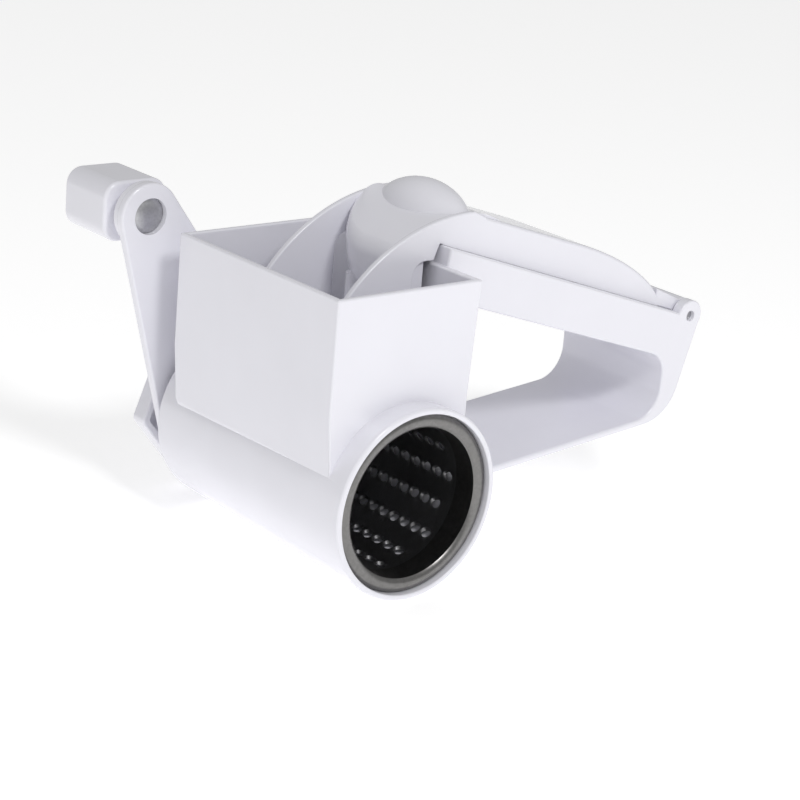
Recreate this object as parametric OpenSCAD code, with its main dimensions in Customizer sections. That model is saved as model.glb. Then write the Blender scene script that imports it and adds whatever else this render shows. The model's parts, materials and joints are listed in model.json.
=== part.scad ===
// Hand-turned rotary cheese grater.
// X runs from the crank side to the handle, Y along the drum away from the
// mouth, Z up. The floor is Z = 0 and the origin is the centre of the footprint.
// Shapes are drawn with the drum's axis as the Y axis and its mouth at Y = 0;
// place() then moves each of them into the footprint's frame.

/* [Drum tube] */
// Outer radius of the tube at its mouth
tube_mouth_r = 33; // [30:0.5:38]
// Outer radius of the tube at its closed end
tube_back_r = 31; // [30:0.5:38]
// Length of the tube
tube_len = 104.5; // [95:0.5:130]
// Thickness of the tube's side wall at its closed end
tube_wall = 2.1; // [1.5:0.1:2.6]
// Thickness of the mouth's rim outside the drum's steel ring
mouth_wall = 2.1; // [1.5:0.1:2.6]
// Depth of the wider pocket that takes the drum's steel ring
mouth_pocket = 5; // [4:0.5:12]
// Thickness of the wall that closes the tube
back_wall = 2.5; // [2:0.1:4]

/* [Hopper] */
// Distance from the drum's axis to the outside of the hopper's left wall
hopper_left = 32.3; // [32:0.1:36]
// Distance from the drum's axis to the outside of the hopper's right wall at its rim
hopper_right = 27.1; // [26:0.1:29]
// How far the right wall leans in between its rim and the tube
hopper_lean = 1.7; // [0:0.1:2.5]
// Distance from the mouth to the hopper's front wall
hopper_front = 8.7; // [7:0.1:14]
// Length of the hopper along the drum
hopper_len = 86.3; // [80:0.1:90]
// Height of the hopper's rim over the drum's axis
hopper_top = 70.6; // [62:0.1:78]
// Thickness of the hopper's walls
hopper_wall = 2.2; // [1.6:0.1:3]

/* [Handle] */
// Width of the handle along the drum
handle_w = 53; // [48:0.5:60]
// Distance from the drum's axis to the hinge
hinge_x = 147; // [135:0.5:165]
// Height of the hinge over the drum's axis
hinge_z = 38.7; // [34:0.1:44]
// Slope of the upper bar, falling towards the hinge, in degrees
bar_slope = 17.7; // [14:0.1:20]
// Depth of the upper bar below the press arm
bar_depth = 17; // [12:0.1:19]
// Thickness of the handle's walls
handle_wall = 2.3; // [1.6:0.1:3]
// Thickness of the lower strap
strap_t = 2.5; // [1.8:0.1:4]
// Height of the strap's upper face over the drum's axis, measured at the tube
strap_z = -6.6; // [-9:0.1:-3]
// Rise of the strap towards its outer end, in degrees
strap_slope = 5; // [2:0.1:8]
// Distance from the hinge back to the inside of the finger loop
loop_back = 11; // [9:0.1:14]
// Radius of the hinge lugs
lug_r = 5.8; // [5:0.1:6.5]
// Width of each hinge lug along the pin
lug_w = 4.3; // [3.5:0.1:4.7]

/* [Press arm] */
// Width of the press arm along the drum
arm_w = 43.5; // [38:0.5:44]
// Height of the press arm's side above the bar
arm_h = 13.2; // [10:0.1:15]
// Length of the arm's rounded fall towards the hinge
arm_fall = 40; // [30:1:55]
// Thickness of the press arm's walls
arm_wall = 2.2; // [1.6:0.1:3]
// Radius of the press head's rounded side walls
fin_r = 68; // [62:0.1:72]
// Distance from the drum's axis to the centre of that rounding
fin_x = 40.5; // [38:0.1:44]
// Height of the centre of that rounding over the drum's axis
fin_z = 18.8; // [16:0.1:22]
// Radius of the head's rounded nose at its middle
nose_r = 25.5; // [23:0.1:26.5]
// Radius of the head's nose at the side walls
nose_end_r = 12.8; // [11:0.1:16]
// Distance from the drum's axis to the nose's centre
nose_x = 35.7; // [34.5:0.1:37]
// Height of the nose's centre over the drum's axis
nose_z = 71.5; // [70:0.1:74]
// Radius of the dome on top of the head at its middle
dome_r = 16.6; // [15:0.1:18]
// Radius of the dome at the side walls
dome_end_r = 9.3; // [8:0.1:12]
// Distance from the drum's axis to the dome's centre
dome_x = 31.9; // [30:0.1:34]
// Height of the dome's centre over the drum's axis
dome_z = 77.6; // [75:0.1:80]
// Thickness of the presser plate
plate_t = 3; // [2:0.1:4]
// Gap between the presser plate and the drum's teeth
plate_gap = 1.4; // [0.8:0.1:4]

/* [Drum] */
// Outer radius of the drum's perforated shell
drum_r = 27; // [25:0.1:27.6]
// Thickness of the drum's sheet steel
drum_t = 0.6; // [0.4:0.1:1]
// Height of the teeth over the shell
tooth_h = 1.1; // [0.6:0.1:1.3]
// Inner radius of the steel ring at the drum's mouth
ring_inner_r = 25.9; // [24:0.1:26]
// Setback of the steel ring from the tube's mouth
ring_setback = 1.4; // [0.8:0.1:2.5]
// Thickness of the steel ring
ring_t = 1.6; // [1:0.1:2.4]
// Number of rows of teeth around the drum
tooth_rows = 16; // [8:2:20]
// Number of teeth in each row
teeth_per_row = 14; // [6:1:16]
// Width across the flats of the square drive
drive_af = 10; // [8:0.5:12]

/* [Crank] */
// Distance from the drum's axis to the knob's axis
crank_len = 81.5; // [70:0.5:95]
// Direction of the crank at rest, in degrees from the handle's side
crank_angle = 116; // [90:1:150]
// Radius of the crank's hub
hub_r = 26.5; // [24:0.5:29]
// Radius of the boss that holds the knob
boss_r = 11.5; // [10:0.5:14]
// Thickness of the crank's hub along the drum's axis
crank_t = 9; // [7:0.5:12]
// Thickness of the crank's lever
lever_t = 3.6; // [3:0.1:5]
// Thickness of the boss that holds the knob
boss_t = 6; // [5:0.1:8]
// Gap between the tube's closed end and the crank
crank_gap = 3; // [2:0.1:6]
// Radius of the drive shaft where it turns in the tube's end
journal_r = 7.5; // [6:0.1:8.5]
// Distance across the corners of the hub's cover, halved
cover_r = 29; // [24:0.5:30]
// Thickness of the hub's cover
cover_t = 7; // [5:0.5:10]

/* [Knob] */
// Width of the knob across the crank
knob_w = 25; // [22:0.5:30]
// Height of the knob
knob_h = 21; // [20:0.5:28]
// Length of the knob
knob_len = 25; // [20:0.5:40]
// Rounding of the knob's long edges
knob_round = 6; // [3:0.5:8]
// Radius of the spindle that the knob turns on
spindle_r = 4; // [3:0.1:5]
// Radius of the spindle's head
spindle_head_r = 6.2; // [5.5:0.1:7]

/* [Hinge pin] */
// Radius of the hinge pin
pin_r = 2; // [1.6:0.1:2.3]

/* [Fits] */
// Radial clearance of parts that turn on one another
run_fit = 0.05; // [0.02:0.01:0.09]
// Clearance of fixed parts in their seats
seat_fit = 0.03; // [0.02:0.01:0.1]
// Gap between parts that only pass one another
free_gap = 0.4; // [0.3:0.1:1]

/* [Hidden] */
$fn = 96;
over = 1;

// Places along the drum
bush_flange = 1.2;
end_room = 3;
crank_y = tube_len + crank_gap;
crank_end = crank_y + crank_t;
end_inside = tube_len - back_wall;
shell_end = end_inside - end_room;
hopper_end = hopper_front + hopper_len;
handle_mid = (hopper_front + hopper_end) / 2;
handle_near = handle_mid - handle_w / 2;
handle_far = handle_mid + handle_w / 2;
arm_near = handle_mid - arm_w / 2;
arm_far = handle_mid + arm_w / 2;

// The knob's axis and its reach
knob_x = crank_len * cos(crank_angle);
knob_z = crank_len * sin(crank_angle);
neck_len = 3;
knob_y = crank_y + boss_t + free_gap + neck_len;
hub_core_r = 18;
neck_r = 7.5;
cap_t = 2;
knob_end = knob_y + knob_len;

// Bores of the tube
tube_bore_r = tube_back_r - tube_wall;
pocket_r = tube_mouth_r - mouth_wall;

// Footprint of the whole object
foot_low = min(knob_x - knob_w / 2, -tube_mouth_r);
foot_high = hinge_x + lug_r;
foot_x = (foot_low + foot_high) / 2;
foot_y = knob_end / 2;

module place() {
    translate([-foot_x, -foot_y, tube_mouth_r]) children();
}

// An outline in X and Z, extruded along Y from y0 to y1
module slab(y0, y1) {
    translate([0, y1, 0]) rotate([90, 0, 0]) linear_extrude(y1 - y0) children();
}

// A cylinder along Y
module rod(r, y0, y1, x = 0, z = 0) {
    translate([x, y1, z]) rotate([90, 0, 0]) cylinder(r = r, h = y1 - y0);
}

// A hollow cylinder along Y
module ring(r_out, r_in, y0, y1, x = 0, z = 0) {
    difference() {
        rod(r_out, y0, y1, x, z);
        rod(r_in, y0 - over, y1 + over, x, z);
    }
}

// Points of an arc about c, from angle a to angle b
function arc(c, r, a, b, n = 12) =
    [for (i = [0 : n]) c + r * [cos(a + (b - a) * i / n), sin(a + (b - a) * i / n)]];

// Where the line through p along u meets the line through q along v
function meet(p, u, q, v) =
    p + u * ((q - p)[0] * v[1] - (q - p)[1] * v[0]) / (u[0] * v[1] - u[1] * v[0]);

function unit(v) = v / norm(v);

// The corner at b between a and c, rounded to radius r
function rounded_corner(a, b, c, r, n = 8) =
    let (
        u = unit(a - b),
        v = unit(c - b),
        half = acos(u * v) / 2,
        mid = b + unit(u + v) * r / sin(half),
        p = b + u * r / tan(half) - mid,
        q = b + v * r / tan(half) - mid,
        a0 = atan2(p[1], p[0]),
        turn = atan2(p[0] * q[1] - p[1] * q[0], p * q)
    ) arc(mid, r, a0, a0 + turn, n);

// An outline with each corner rounded to its own radius; a radius of 0 stays sharp
function rounded(pts, radii) =
    let (n = len(pts))
    [for (i = [0 : n - 1])
        each (radii[i] == 0 ? [pts[i]]
            : rounded_corner(pts[(i + n - 1) % n], pts[i], pts[(i + 1) % n], radii[i]))];

// The seam line between bar and arm passes through the hinge
hinge = [hinge_x, hinge_z];
along = [cos(bar_slope), -sin(bar_slope)];
above = [sin(bar_slope), cos(bar_slope)];
strap_along = [cos(strap_slope), sin(strap_slope)];
upright = [0, 1];

// A point on a line that runs beside the seam, at a given X
function beside_seam(x, offset) = meet(hinge + above * offset, along, [x, 0], upright);

// A point on a line that runs beside the strap's upper face, at a given X
function beside_strap(x, offset) =
    meet([tube_mouth_r, strap_z] + [0, offset], strap_along, [x, 0], upright);

/* Outline of the housing */

right_low = hopper_right - hopper_lean;
turn_z = 0.45 * hopper_top;
left_low = 0.95 * hopper_left;
left_low_z = 0.36 * tube_mouth_r;
tube_side = 0.86 * tube_bore_r;
hollow_low_z = 0.3 * tube_mouth_r;
loop_x = hinge_x - loop_back;
outer_round = 17;
loop_round_top = 9;
loop_round_low = 12;
lug_side = [0.98 * lug_r, -0.2 * lug_r];
riser_foot = [loop_x + 5.6, beside_strap(loop_x, -strap_t)[1] + 0.4];

module hopper_outline(inset) {
    polygon([
        [-hopper_left + inset, hopper_top + over * sign(inset)],
        [-hopper_left + inset, turn_z],
        [-left_low + inset, left_low_z],
        [-tube_side, inset > 0 ? hollow_low_z : 0],
        [right_low - inset, inset > 0 ? hollow_low_z : 0],
        [right_low - inset, turn_z],
        [hopper_right - inset, hopper_top + over * sign(inset)]
    ]);
}

module handle_outline() {
    polygon(rounded([
        beside_seam(hopper_right, -free_gap),
        beside_seam(hinge_x - lug_r, -free_gap),
        hinge + lug_side,
        riser_foot,
        beside_strap(0, -strap_t),
        [0, hopper_top / 2],
        [hopper_right - hopper_wall / 2, hopper_top - over]
    ], [0, 0, 0, outer_round, 0, 0, 0]));
}

module loop_outline(grow) {
    polygon(rounded([
        [0, beside_seam(0, -bar_depth)[1] + grow],
        [loop_x + grow, beside_seam(loop_x + grow, -bar_depth)[1] + grow],
        [loop_x + grow, beside_strap(loop_x + grow, 0)[1] - grow],
        [0, beside_strap(0, 0)[1] - grow]
    ], [0, loop_round_top + grow, loop_round_low + grow, 0]));
}

// Outline of the space inside the upper bar and the riser
module bar_hollow_outline() {
    foot_z = beside_strap(loop_x, 0)[1] + 11;
    difference() {
        polygon([
            beside_seam(hopper_right + handle_wall, over),
            beside_seam(hinge_x + lug_r - handle_wall, over),
            hinge + lug_side - [1.2 * handle_wall, 0],
            [riser_foot[0] - 1, foot_z],
            [loop_x + handle_wall + 0.5, foot_z],
            [hopper_right + handle_wall, hopper_top / 2]
        ]);
        loop_outline(handle_wall);
    }
}

// Space inside the bar, open towards the press arm between two ledges that the arm's sides rest over
module bar_cavity() {
    slab(handle_near + handle_wall, handle_far - handle_wall) intersection() {
        bar_hollow_outline();
        polygon([
            beside_seam(0, -free_gap - ledge_t),
            beside_seam(hinge_x + 2 * lug_r, -free_gap - ledge_t),
            [hinge_x + 2 * lug_r, -tube_mouth_r],
            [0, -tube_mouth_r]
        ]);
    }
    slab(inner_near + ledge_in, inner_far - ledge_in) bar_hollow_outline();
}

module housing() color("white") place() {
    difference() {
        union() {
            translate([0, tube_len, 0]) rotate([90, 0, 0])
                cylinder(r1 = tube_back_r, r2 = tube_mouth_r, h = tube_len);
            slab(hopper_front, hopper_end) hopper_outline(0);
            difference() {
                slab(handle_near, handle_far) handle_outline();
                slab(handle_near - over, handle_far + over) loop_outline(0);
                bar_cavity();
            }
            rod(lug_r, handle_near, handle_near + lug_w, hinge_x, hinge_z);
            rod(lug_r, handle_far - lug_w, handle_far, hinge_x, hinge_z);
        }
        rod(tube_bore_r, mouth_pocket, end_inside);
        rod(pocket_r, -over, mouth_pocket + 0.01);
        rod(bush_out_r, end_inside - over, tube_len + over);
        slab(hopper_front + hopper_wall, hopper_end - hopper_wall) hopper_outline(hopper_wall);
        rod(knuckle_r + free_gap * 2, arm_near - free_gap, arm_far + free_gap, hinge_x, hinge_z);
        rod(pin_r + seat_fit, handle_near - over, handle_far + over, hinge_x, hinge_z);
    }
}

// Bush that the drive shaft turns in, pressed into the closed end of the tube
bush_out_r = journal_r + 2;
bush_flange_r = journal_r + 4.5;

module rear_bush() color("whitesmoke") place() {
    ring(bush_out_r - seat_fit, journal_r + run_fit, end_inside, tube_len);
    ring(bush_flange_r, journal_r + run_fit, tube_len, tube_len + bush_flange);
}

/* Hinge */

knuckle_r = 5.6;
pin_inset = 1.6;

module hinge_pin() color("silver") place() {
    rod(pin_r, handle_near + pin_inset, handle_far - pin_inset, hinge_x, hinge_z);
}

/* Press arm */

inner_near = arm_near + arm_wall;
inner_far = arm_far - arm_wall;
ledge_t = 2.4;
ledge_in = 0.5;
fin_top_a = 97;
fin_low_a = 172;
fin_low_x = -hopper_left + hopper_wall + 2.2;
fin_inner_x = 15.6;
notch_z = hopper_top + 1.1;
notch_round = 5;
bar_gap = 0.7;
slot_r = lug_r + 2.2;
slot_rim = 4;
fall_end = hinge_x - slot_r - slot_rim;
seat_r = drum_r + tooth_h + plate_gap;

// Outline of the arm beside the seam: straight back, then a rounded fall towards the hinge
module arm_outline(inset = 0) {
    low = free_gap / 2 - over * sign(inset);
    polygon(concat(
        [beside_seam(hopper_right - 2, low)],
        [for (i = [0 : 16]) let (a = 90 * i / 16)
            beside_seam(fall_end - inset - (arm_fall - inset) * (1 - cos(a)),
                (arm_h - inset) * sin(a) + (i == 0 ? low : 0))],
        [beside_seam(fin_x - 3, arm_h - inset)],
        [beside_seam(nose_r, arm_h * 0.4)]
    ));
}

// One side wall of the press head
module fin_outline() {
    difference() {
        polygon(concat(
            [beside_seam(hopper_right + 6, free_gap / 2)],
            [beside_seam(hopper_right + 8, arm_h)],
            arc([fin_x, fin_z], fin_r, fin_top_a, fin_low_a, 28),
            [[fin_inner_x, fin_z]],
            rounded_corner([fin_inner_x, fin_z], [fin_inner_x, notch_z], [hopper_right, notch_z],
                notch_round),
            [[hopper_right - bar_gap - hopper_wall, notch_z]],
            [beside_seam(hopper_right - bar_gap, free_gap / 2)]
        ));
        translate([fin_low_x - 100, -50]) square([100, 150]);
        circle(r = seat_r + plate_t + seat_fit);
    }
}

// Barrel along Y with a crowned side
module barrel(r_mid, r_end, half, x, z) {
    sag = r_mid - r_end;
    crown = (half * half + sag * sag) / (2 * sag);
    reach = asin(half / crown);
    translate([x, handle_mid, z]) rotate([90, 0, 0]) rotate_extrude()
        polygon(concat(
            [[0, -half]],
            [for (i = [-8 : 8]) let (a = reach * i / 8) [r_mid - crown + crown * cos(a), crown * sin(a)]],
            [[0, half]]
        ));
}

// Everything under the side walls' tops and under the arm's top
module under_top(inset) {
    slab(arm_near, arm_far) polygon(concat(
        arc([fin_x, fin_z], fin_r - inset, fin_top_a, fin_low_a, 28),
        [beside_seam(nose_x + 2 * nose_r, -2 * nose_r)],
        [beside_seam(nose_x + 2 * nose_r, arm_h - inset)]
    ));
}

// The head's nose, cut flush with those tops, and the dome above it
module head_body(inset, half) {
    intersection() {
        barrel(nose_r - inset, nose_end_r - inset, half, nose_x, nose_z);
        under_top(inset);
    }
    barrel(dome_r - inset, dome_end_r - inset, half, dome_x, dome_z);
}

// Outline of the part of the nose that would stand in the hopper's right wall or in the bar
module below_head() {
    polygon([
        [nose_low_x, 0],
        [nose_low_x, notch_z],
        beside_seam(nose_low_x, free_gap / 2),
        beside_seam(nose_x + 2 * nose_r, free_gap / 2),
        [nose_x + 2 * nose_r, 0]
    ]);
}

nose_low_x = 21;

module press_arm() color("white") place() {
    half = arm_w / 2 - arm_wall;
    difference() {
        union() {
            difference() {
                union() {
                    slab(arm_near, arm_far) arm_outline();
                    head_body(0, half);
                }
                slab(inner_near, inner_far) arm_outline(arm_wall);
                head_body(arm_wall, half - 0.01);
                slab(handle_near, handle_far) below_head();
            }
            slab(arm_near, inner_near) fin_outline();
            slab(inner_far, arm_far) fin_outline();
            for (y = screw_y)
                translate([screw_x, y, post_low]) cylinder(r = post_r, h = post_top - post_low);
            rod(knuckle_r, arm_near, arm_far, hinge_x, hinge_z);
            slab(arm_near, arm_far) polygon([
                hinge + knuckle_r * [-0.2, 0.9],
                beside_seam(fall_end - 2, arm_h * 0.45),
                beside_seam(fall_end - 2, free_gap / 2),
                beside_seam(hinge_x - knuckle_r * 0.8, free_gap / 2)
            ]);
        }
        rod(bush_r + seat_fit, handle_near, handle_far, hinge_x, hinge_z);
        for (y = screw_y)
            translate([screw_x, y, 0]) cylinder(r = screw_r + seat_fit, h = post_low + screw_grip + 0.5);
    }
}

bush_r = 2.9;
bush_len = 8;

module arm_bushes() color("silver") place() {
    ring(bush_r, pin_r + run_fit, arm_near, arm_near + bush_len, hinge_x, hinge_z);
    ring(bush_r, pin_r + run_fit, arm_far - bush_len, arm_far, hinge_x, hinge_z);
}

// Curved plate that pushes the cheese onto the drum
plate_left = -24;
plate_right = 22;
plate_gap_y = 1.5;
plate_near = hopper_front + hopper_wall + plate_gap_y;
plate_far = hopper_end - hopper_wall - plate_gap_y;

// Screws that hold the plate to two posts under the head's nose
screw_y = [handle_mid - 8, handle_mid + 8];
screw_x = 15.5;
screw_r = 1.5;
screw_grip = 8.5;
screw_head_r = 2.8;
screw_head_t = 1.6;
post_r = 3;
post_low = sqrt(pow(seat_r + plate_t, 2) - pow(screw_x - post_r, 2)) + seat_fit;
post_top = nose_z - sqrt(pow(nose_r, 2) - pow(nose_x - screw_x + post_r, 2));
head_z = sqrt(pow(drum_r + tooth_h + 0.5, 2) - pow(screw_x - screw_head_r, 2));
pad_r = post_r + 0.6;

module presser_plate() color("white") place() {
    difference() {
        union() {
            intersection() {
                ring(seat_r + plate_t, seat_r, plate_near, plate_far);
                translate([plate_left, plate_near, 10])
                    cube([plate_right - plate_left, plate_far - plate_near, 60]);
            }
            for (y = screw_y) difference() {
                translate([screw_x, y, 20]) cylinder(r = pad_r, h = post_low - seat_fit - 20);
                rod(seat_r + plate_t / 2, plate_near, plate_far);
            }
        }
        for (y = screw_y) translate([screw_x, y, 0]) {
            cylinder(r = screw_r + seat_fit, h = 60);
            cylinder(r = screw_head_r + seat_fit, h = head_z + screw_head_t);
        }
    }
}

module plate_screws() color("silver") place() {
    for (y = screw_y) translate([screw_x, y, 0]) {
        translate([0, 0, head_z]) cylinder(r = screw_head_r, h = screw_head_t - seat_fit);
        translate([0, 0, head_z]) cylinder(r = screw_r, h = post_low + screw_grip - head_z);
    }
}

/* Drum */

teeth_start = 16;
teeth_span = 78;
window = [3 * drum_t, 2.6, 2.2];
tooth_pitch = teeth_span / teeth_per_row;

module drum_shell() color("silver") place() {
    difference() {
        ring(drum_r, drum_r - drum_t, ring_setback + ring_t, shell_end);
        for (row = [0 : tooth_rows - 1], i = [0 : teeth_per_row - 1])
            rotate([0, 360 * row / tooth_rows, 0])
                translate([drum_r, teeth_start + (row % 2 / 2 + i) * tooth_pitch, 0])
                    cube(window, center = true);
    }
}

// Flat ring at the drum's mouth with a sleeve that the shell is welded to
ring_end = ring_setback + ring_t;
sleeve_len = 8;

module drum_ring() color("silver") place() {
    ring(pocket_r - free_gap, ring_inner_r, ring_setback, ring_end);
    ring(drum_r - drum_t - seat_fit, ring_inner_r, ring_end, ring_end + sleeve_len);
}

hub_boss_r = 11;
hub_boss_len = 12;
hub_flange_r = 17;
hub_flange_t = 2;
end_plate_t = 1;
end_plate_y = shell_end - 0.2;
rivet_r = 1.5;
rivet_circle = 14;
rivets = [for (a = [90, 210, 330]) rivet_circle * [cos(a), sin(a)]];

module drum_end_plate() color("silver") place() {
    ring(drum_r - drum_t - seat_fit, hub_boss_r + seat_fit, end_plate_y - end_plate_t, end_plate_y);
}

module drum_hub() color("dimgray") place() {
    difference() {
        union() {
            rod(hub_boss_r, shell_end - hub_boss_len, end_plate_y);
            rod(hub_flange_r, end_plate_y, end_plate_y + hub_flange_t);
        }
        translate([0, shell_end - 2, 0])
            cube([drive_af + 2 * run_fit, 17, drive_af + 2 * run_fit], center = true);
        for (p = rivets)
            rod(rivet_r + seat_fit, end_plate_y - over, end_plate_y + hub_flange_t + over, p[0], p[1]);
    }
}

module hub_rivets() color("silver") place() {
    for (p = rivets)
        rod(rivet_r, end_plate_y + 0.1, end_plate_y + hub_flange_t + 0.4, p[0], p[1]);
}

/* Crank */

// The shaft is square inside the drum and round in the bush and the crank
shaft_low = shell_end - 8;
square_end = end_inside - 0.5;
shaft_grip = 5;
thread_r = 1.6;

module drive_shaft() color("silver") place() {
    difference() {
        union() {
            translate([0, (shaft_low + square_end) / 2, 0])
                cube([drive_af, square_end - shaft_low, drive_af], center = true);
            rod(journal_r, square_end - 0.1, crank_y + shaft_grip);
        }
        rod(thread_r, crank_y - 6, crank_y + shaft_grip + over);
    }
}

// Outline of the crank, a hub and a boss joined by their tangents
module crank_outline(hub, boss) {
    flare = asin((hub - boss) / crank_len);
    polygon(concat(
        arc([0, 0], hub, crank_angle + 90 - flare, crank_angle + 270 + flare, 40),
        arc([knob_x, knob_z], boss, crank_angle - 90 + flare, crank_angle + 90 - flare, 24)
    ));
}

screw_shank_r = 2;
screw_top_r = 3.6;
washer_r = 5;
washer_t = 0.8;
head_depth = 3;

module crank_arm() color("white") place() {
    difference() {
        union() {
            slab(crank_y, crank_y + lever_t) crank_outline(hub_r, boss_r);
            rod(boss_r - 0.2, crank_y + 1, crank_y + boss_t, knob_x, knob_z);
            rod(hub_core_r, crank_y + 1, crank_end);
        }
        rod(journal_r + seat_fit, crank_y - over, crank_y + shaft_grip);
        rod(screw_shank_r + seat_fit, crank_y, crank_end + over);
        rod(spindle_r + seat_fit, crank_y - over, crank_end + over, knob_x, knob_z);
        rod(spindle_head_r + 0.15, crank_y - over, crank_y + head_depth, knob_x, knob_z);
    }
}

module crank_washer() color("silver") place() {
    ring(washer_r, screw_shank_r + seat_fit, crank_end, crank_end + washer_t);
}

module crank_screw() color("silver") place() {
    rod(thread_r - seat_fit, crank_y - 4, crank_y + shaft_grip);
    rod(screw_shank_r, crank_y + shaft_grip, crank_end + washer_t);
    rod(screw_top_r, crank_end + washer_t, crank_end + head_depth);
}

cover_wall = 3;
cover_top_t = 2;

module hub_cover() color("white") place() {
    translate([0, crank_end + cover_t, 0]) rotate([90, 0, 0]) difference() {
        linear_extrude(cover_t) polygon(hexagon(cover_r, 3));
        translate([0, 0, cover_top_t]) linear_extrude(cover_t - cover_top_t + over)
            polygon(hexagon(cover_r - cover_wall, 1.5));
    }
}

// Corners of the hub's cover, one of them pointing to the crank side
function hexagon(r, round) = rounded([for (i = [0 : 5]) r * [cos(189 + 60 * i), sin(189 + 60 * i)]],
    [for (i = [0 : 5]) round]);

/* Knob */

cap_edge = 1.5;
clip_r = 6.5;
clip_t = 1;
clip_room = 5;
spindle_end = knob_end - cap_t - 3;

module knob_spindle() color("silver") place() {
    rod(spindle_head_r, crank_y + 1, crank_y + head_depth, knob_x, knob_z);
    rod(spindle_r, crank_y + head_depth, spindle_end, knob_x, knob_z);
}

module knob_clip() color("silver") place() {
    ring(clip_r, spindle_r + seat_fit, spindle_end - 0.2 - clip_t, spindle_end - 0.2, knob_x, knob_z);
}

module knob_outline(inset) {
    w = knob_w / 2 - inset;
    h = knob_h / 2 - inset;
    r = knob_round - inset;
    translate([knob_x, knob_z]) polygon(rounded([[w, h], [-w, h], [-w, -h], [w, -h]], [r, r, r, r]));
}

module knob() color("white") place() {
    difference() {
        union() {
            slab(knob_y, knob_end) knob_outline(0);
            rod(neck_r, knob_y - neck_len, knob_y + over, knob_x, knob_z);
        }
        slab(knob_end - cap_t, knob_end + over) knob_outline(cap_edge);
        rod(spindle_r + run_fit, knob_y - neck_len - over, knob_end, knob_x, knob_z);
        rod(clip_r + 1, knob_end - cap_t - clip_room, knob_end, knob_x, knob_z);
    }
}

module knob_cap() color("whitesmoke") place() {
    slab(knob_end - cap_t, knob_end) knob_outline(cap_edge + seat_fit);
}

housing();
rear_bush();
hinge_pin();
press_arm();
presser_plate();
plate_screws();
arm_bushes();
drum_shell();
drum_ring();
drum_end_plate();
drum_hub();
hub_rivets();
drive_shaft();
crank_arm();
crank_washer();
crank_screw();
hub_cover();
knob_spindle();
knob_clip();
knob();
knob_cap();
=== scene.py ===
"""A hand-turned rotary cheese grater: white plastic mouldings round a toothed steel drum."""
import json
from math import acos, asin, atan2, cos, degrees, pi, radians, sin, sqrt, tan

import bpy
from mathutils import Matrix, Vector


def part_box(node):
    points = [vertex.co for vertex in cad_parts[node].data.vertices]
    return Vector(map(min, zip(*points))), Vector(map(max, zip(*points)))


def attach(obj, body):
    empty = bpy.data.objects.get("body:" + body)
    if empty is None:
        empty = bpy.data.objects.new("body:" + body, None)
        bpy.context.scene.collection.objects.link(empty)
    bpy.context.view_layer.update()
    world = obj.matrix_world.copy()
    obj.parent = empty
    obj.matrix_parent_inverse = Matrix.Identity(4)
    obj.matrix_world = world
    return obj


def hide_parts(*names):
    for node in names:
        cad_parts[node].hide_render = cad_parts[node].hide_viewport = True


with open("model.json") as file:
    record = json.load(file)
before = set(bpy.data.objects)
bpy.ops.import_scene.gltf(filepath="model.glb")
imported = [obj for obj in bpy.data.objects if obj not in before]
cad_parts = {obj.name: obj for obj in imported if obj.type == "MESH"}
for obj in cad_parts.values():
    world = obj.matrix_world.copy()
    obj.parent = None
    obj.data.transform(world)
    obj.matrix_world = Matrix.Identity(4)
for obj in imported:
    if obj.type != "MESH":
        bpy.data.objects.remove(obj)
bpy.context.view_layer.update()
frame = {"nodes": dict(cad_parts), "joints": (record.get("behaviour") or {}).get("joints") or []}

# ---------------------------------------------------------------------------------------
# The housing: one moulding of drum tube, hopper and closed loop handle. The tube narrows
# a little towards its closed end, the hopper stands on it, and the handle's bar, riser
# and strap run out to the two lugs that hold the hinge pin.

# Every place is in millimetres from the middle of the drum's mouth: x towards the handle,
# y into the tube, z up. The drum's shaft and the hinge give the housing its two axes.
MM = 0.001
turning = {joint["name"]: Vector(joint["pos_m"]) for joint in frame["joints"]}
mouth = Vector((turning["drum_turn"].x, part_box("housing")[0].y, turning["drum_turn"].z))
hinge_x, hinge_z = [(turning["press_arm_hinge"] - mouth)[i] / MM for i in (0, 2)]


def at(x, y, z):
    return mouth + Vector((x, y, z)) * MM


def reach(node):
    """A CAD piece's lowest and highest corners, in millimetres from the mouth."""
    low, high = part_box(node)
    return (low - mouth) / MM, (high - mouth) / MM


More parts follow.
